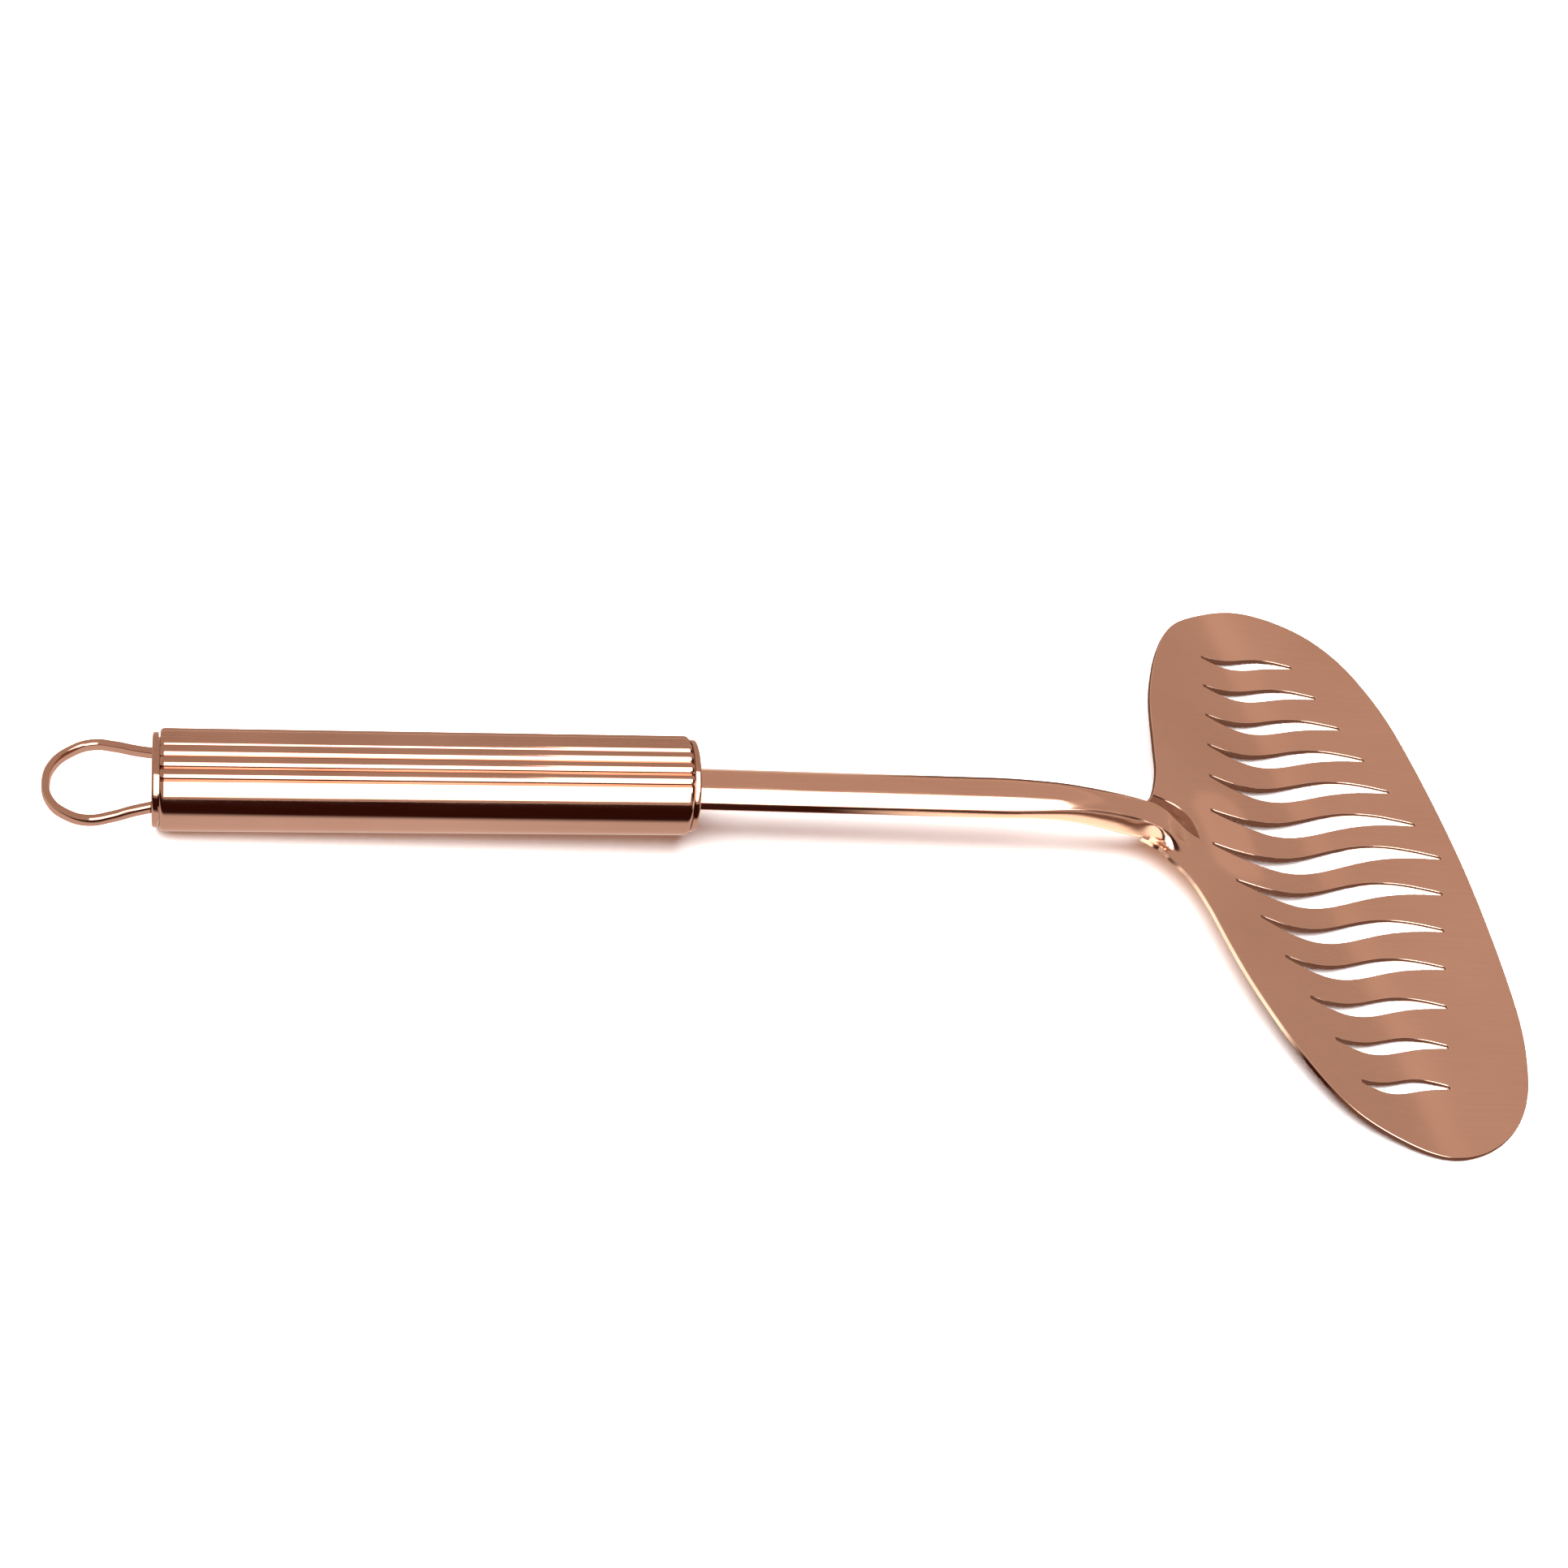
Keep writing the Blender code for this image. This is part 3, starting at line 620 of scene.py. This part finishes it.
link(paperTree, rays.outputs["Is Camera Ray"], either.inputs[0])
link(paperTree, rays.outputs["Is Glossy Ray"], either.inputs[1])
link(paperTree, either.outputs[0], blendTone.inputs["Factor"])
link(paperTree, blendTone.outputs["Result"], paperShader.inputs["Base Color"])
floor.data.materials.append(paper)

# softboxes seen only in the polish, each as ((left, right), (low, high)) on one tilted plane,
# and a wide sun that only the floor sees
lampLook = {
    "glow": 4.4, "tilt": 47.0, "reach": 1.0,
    "handleBox": ((-0.40, 0.085), (-0.75, 0.24)),
    "shankBox": ((0.085, 0.34), (-0.75, 0.75)),
    "neckBox": ((0.34, 0.67), (-0.25, 0.75)),
    "sun": (-0.25, -0.27, 1.0), "sunPower": 8.5, "sunAngle": 55.0,
}
boxTurn = Matrix.Rotation(math.radians(lampLook["tilt"]), 4, "X")
for name in ("handleBox", "shankBox", "neckBox"):
    (left, right), (low, high) = lampLook[name]
    boxData = bpy.data.lights.new(name, "AREA")
    boxData.shape = "RECTANGLE"
    boxData.size, boxData.size_y = right - left, high - low
    boxData.energy = lampLook["glow"] * math.pi * boxData.size * boxData.size_y
    box = bpy.data.objects.new(name, boxData)
    middle = (0.5 * (left + right), 0.5 * (low + high), lampLook["reach"])
    box.matrix_world = boxTurn @ Matrix.Translation(middle)
    box.visible_camera = False
    box.visible_diffuse = False
    scene.collection.objects.link(box)
sunData = bpy.data.lights.new("floorSun", "SUN")
sunData.energy = lampLook["sunPower"]
sunData.angle = math.radians(lampLook["sunAngle"])
sun = bpy.data.objects.new("floorSun", sunData)
sun.rotation_euler = Vector(lampLook["sun"]).to_track_quat("Z", "Y").to_euler()
sun.visible_glossy = False
scene.collection.objects.link(sun)

# surround: glow by distance from a tilted stripe, with one dark spot; white to the camera
worldLook = {
    "fill": (0.22, 0.07, 0.04), "backdrop": (1.0, 1.0, 1.0),
    "stripe": (0.786, -0.241, -0.569), "stripeSpan": 0.3, "warmth": (1.0, 0.80, 0.68),
    "glow": (
        (-0.3, 0.665), (-0.075, 0.665), (-0.02, 0.75), (0.008, 0.76), (0.032, 0.60), (0.3, 0.60),
    ),
    "gobo": (0.80, -0.46, 0.38), "goboWide": (0.84, 0.95), "goboTone": (0.06, 0.024, 0.018),
}
world = bpy.data.worlds.new("studioSurround")
scene.world = world
world.use_nodes = True
worldTree = world.node_tree
heading = worldTree.nodes.new("ShaderNodeTexCoord")
across = worldTree.nodes.new("ShaderNodeVectorMath")
across.operation = "DOT_PRODUCT"
across.inputs[1].default_value = Vector(worldLook["stripe"]).normalized()
height = worldTree.nodes.new("ShaderNodeMapRange")
fromSpan(height, (-worldLook["stripeSpan"], worldLook["stripeSpan"]))
walls = worldTree.nodes.new("ShaderNodeValToRGB")
while len(walls.color_ramp.elements) < len(worldLook["glow"]):
    walls.color_ramp.elements.new(0.5)
for mark, (level, glow) in zip(walls.color_ramp.elements, worldLook["glow"]):
    mark.position = 0.5 + 0.5 * level / worldLook["stripeSpan"]
    mark.color = (*[glow * tint for tint in worldLook["warmth"]], 1)
facing = worldTree.nodes.new("ShaderNodeVectorMath")
facing.operation = "DOT_PRODUCT"
facing.inputs[1].default_value = Vector(worldLook["gobo"]).normalized()
gobo = worldTree.nodes.new("ShaderNodeMapRange")
gobo.interpolation_type = "SMOOTHSTEP"
fromSpan(gobo, worldLook["goboWide"])
shaded = worldTree.nodes.new("ShaderNodeMix")
shaded.data_type = "RGBA"
shaded.inputs["B"].default_value = (*worldLook["goboTone"], 1)
straightOn = worldTree.nodes.new("ShaderNodeLightPath")
fill = worldTree.nodes.new("ShaderNodeMix")
fill.data_type = "RGBA"
fill.inputs["B"].default_value = (*worldLook["fill"], 1)
backdrop = worldTree.nodes.new("ShaderNodeMix")
backdrop.data_type = "RGBA"
backdrop.inputs["B"].default_value = (*worldLook["backdrop"], 1)
link(worldTree, heading.outputs["Generated"], across.inputs[0])
link(worldTree, heading.outputs["Generated"], facing.inputs[0])
link(worldTree, facing.outputs["Value"], gobo.inputs["Value"])
link(worldTree, across.outputs["Value"], height.inputs["Value"])
link(worldTree, height.outputs["Result"], walls.inputs["Fac"])
link(worldTree, walls.outputs["Color"], shaded.inputs["A"])
link(worldTree, gobo.outputs["Result"], shaded.inputs["Factor"])
link(worldTree, shaded.outputs["Result"], fill.inputs["A"])
link(worldTree, straightOn.outputs["Is Diffuse Ray"], fill.inputs["Factor"])
link(worldTree, fill.outputs["Result"], backdrop.inputs["A"])
link(worldTree, straightOn.outputs["Is Camera Ray"], backdrop.inputs["Factor"])
link(worldTree, backdrop.outputs["Result"], worldTree.nodes["Background"].inputs["Color"])

# card lying under the tool, seen only in its polish: dark before the tool, mid behind it,
# bright beside the neck, dim under the blade and one plain tone beyond the tool
flagLook = {
    "near": -2.0, "far": 2.0, "half": 2.0, "height": 0.0003,
    "dark": (0.045, 0.010, 0.006), "mid": (0.95, 0.85, 0.80), "edge": (-0.028, -0.020),
    "bright": (2.0, 1.85, 1.6), "brightFrom": (0.015, 0.045), "brightNear": (-0.070, -0.055),
    "under": (0.21, 0.125, 0.095), "underFrom": (0.090, 0.098), "underFar": (0.006, 0.014),
    "away": (0.60, 0.48, 0.41), "awayFrom": (0.165, 0.180), "awayFar": (0.095, 0.115),
}
bpy.ops.object.select_all(action="DESELECT")
bpy.ops.mesh.primitive_plane_add(size=1.0, location=(0, 0, 0))
flag = bpy.context.object
flag.name = "polishCard"
flag.scale = (2 * flagLook["half"], flagLook["far"] - flagLook["near"], 1)
flag.location = (0, 0.5 * (flagLook["far"] + flagLook["near"]), flagLook["height"])
bpy.ops.object.transform_apply(location=True, rotation=True, scale=True)
flag.visible_camera = False
flag.visible_diffuse = False
flag.visible_shadow = False
flag.visible_transmission = False
card = bpy.data.materials.new("polishCard")
card.use_nodes = True
cardTree = card.node_tree
cardTree.nodes.remove(cardTree.nodes["Principled BSDF"])
cardGlow = cardTree.nodes.new("ShaderNodeEmission")
cardPlace = cardTree.nodes.new("ShaderNodeTexCoord")
cardAxes = cardTree.nodes.new("ShaderNodeSeparateXYZ")
link(cardTree, cardPlace.outputs["Object"], cardAxes.inputs[0])


def cardStep(axis, span):
    node = cardTree.nodes.new("ShaderNodeMapRange")
    node.interpolation_type = "SMOOTHSTEP"
    fromSpan(node, span)
    link(cardTree, cardAxes.outputs[axis], node.inputs["Value"])
    return node.outputs["Result"]


def cardBoth(kind, a, b):
    node = cardTree.nodes.new("ShaderNodeMath")
    node.operation = kind
    link(cardTree, a, node.inputs[0])
    link(cardTree, b, node.inputs[1])
    return node.outputs[0]


def cardOver(share, base, colour):
    node = cardTree.nodes.new("ShaderNodeMix")
    node.data_type = "RGBA"
    if isinstance(base, tuple):
        node.inputs["A"].default_value = (*base, 1)
    else:
        link(cardTree, base, node.inputs["A"])
    node.inputs["B"].default_value = (*colour, 1)
    link(cardTree, share, node.inputs["Factor"])
    return node.outputs["Result"]


besideNeck = cardStep("X", flagLook["brightFrom"])
brightPart = cardBoth("MULTIPLY", besideNeck, cardStep("Y", flagLook["brightNear"]))
farSide = cardBoth("MULTIPLY", besideNeck, cardStep("Y", flagLook["underFar"]))
underPart = cardBoth("MAXIMUM", farSide, cardStep("X", flagLook["underFrom"]))
beyondBlade = cardStep("X", flagLook["awayFrom"])
awayPart = cardBoth("MAXIMUM", beyondBlade, cardStep("Y", flagLook["awayFar"]))
cardColour = cardOver(cardStep("Y", flagLook["edge"]), flagLook["dark"], flagLook["mid"])
cardColour = cardOver(brightPart, cardColour, flagLook["bright"])
cardColour = cardOver(underPart, cardColour, flagLook["under"])
cardColour = cardOver(awayPart, cardColour, flagLook["away"])
link(cardTree, cardColour, cardGlow.inputs["Color"])
link(cardTree, cardGlow.outputs[0], cardTree.nodes["Material Output"].inputs["Surface"])
flag.data.materials.append(card)
print("stage and lamps set")

# camera at the photograph's place
cameraLook = {
    "place": (-0.151881, -0.417740, 0.418817),
    "right": (0.969061, -0.143430, 0.200887),
    "up": (-0.044278, 0.699640, 0.713131),
    "lens": 61.49, "sensor": 36.0, "clip": (0.01, 50.0),
}
camData = bpy.data.cameras.new("photoCamera")
camData.lens = cameraLook["lens"]
camData.sensor_width = cameraLook["sensor"]
camData.clip_start, camData.clip_end = cameraLook["clip"]
cam = bpy.data.objects.new("photoCamera", camData)
scene.collection.objects.link(cam)
right = Vector(cameraLook["right"]).normalized()
up = Vector(cameraLook["up"])
up = (up - right * up.dot(right)).normalized()
back = right.cross(up)
turn = Matrix((right, up, back)).transposed()
cam.matrix_world = Matrix.Translation(cameraLook["place"]) @ turn.to_4x4()
scene.camera = cam
print("camera set")
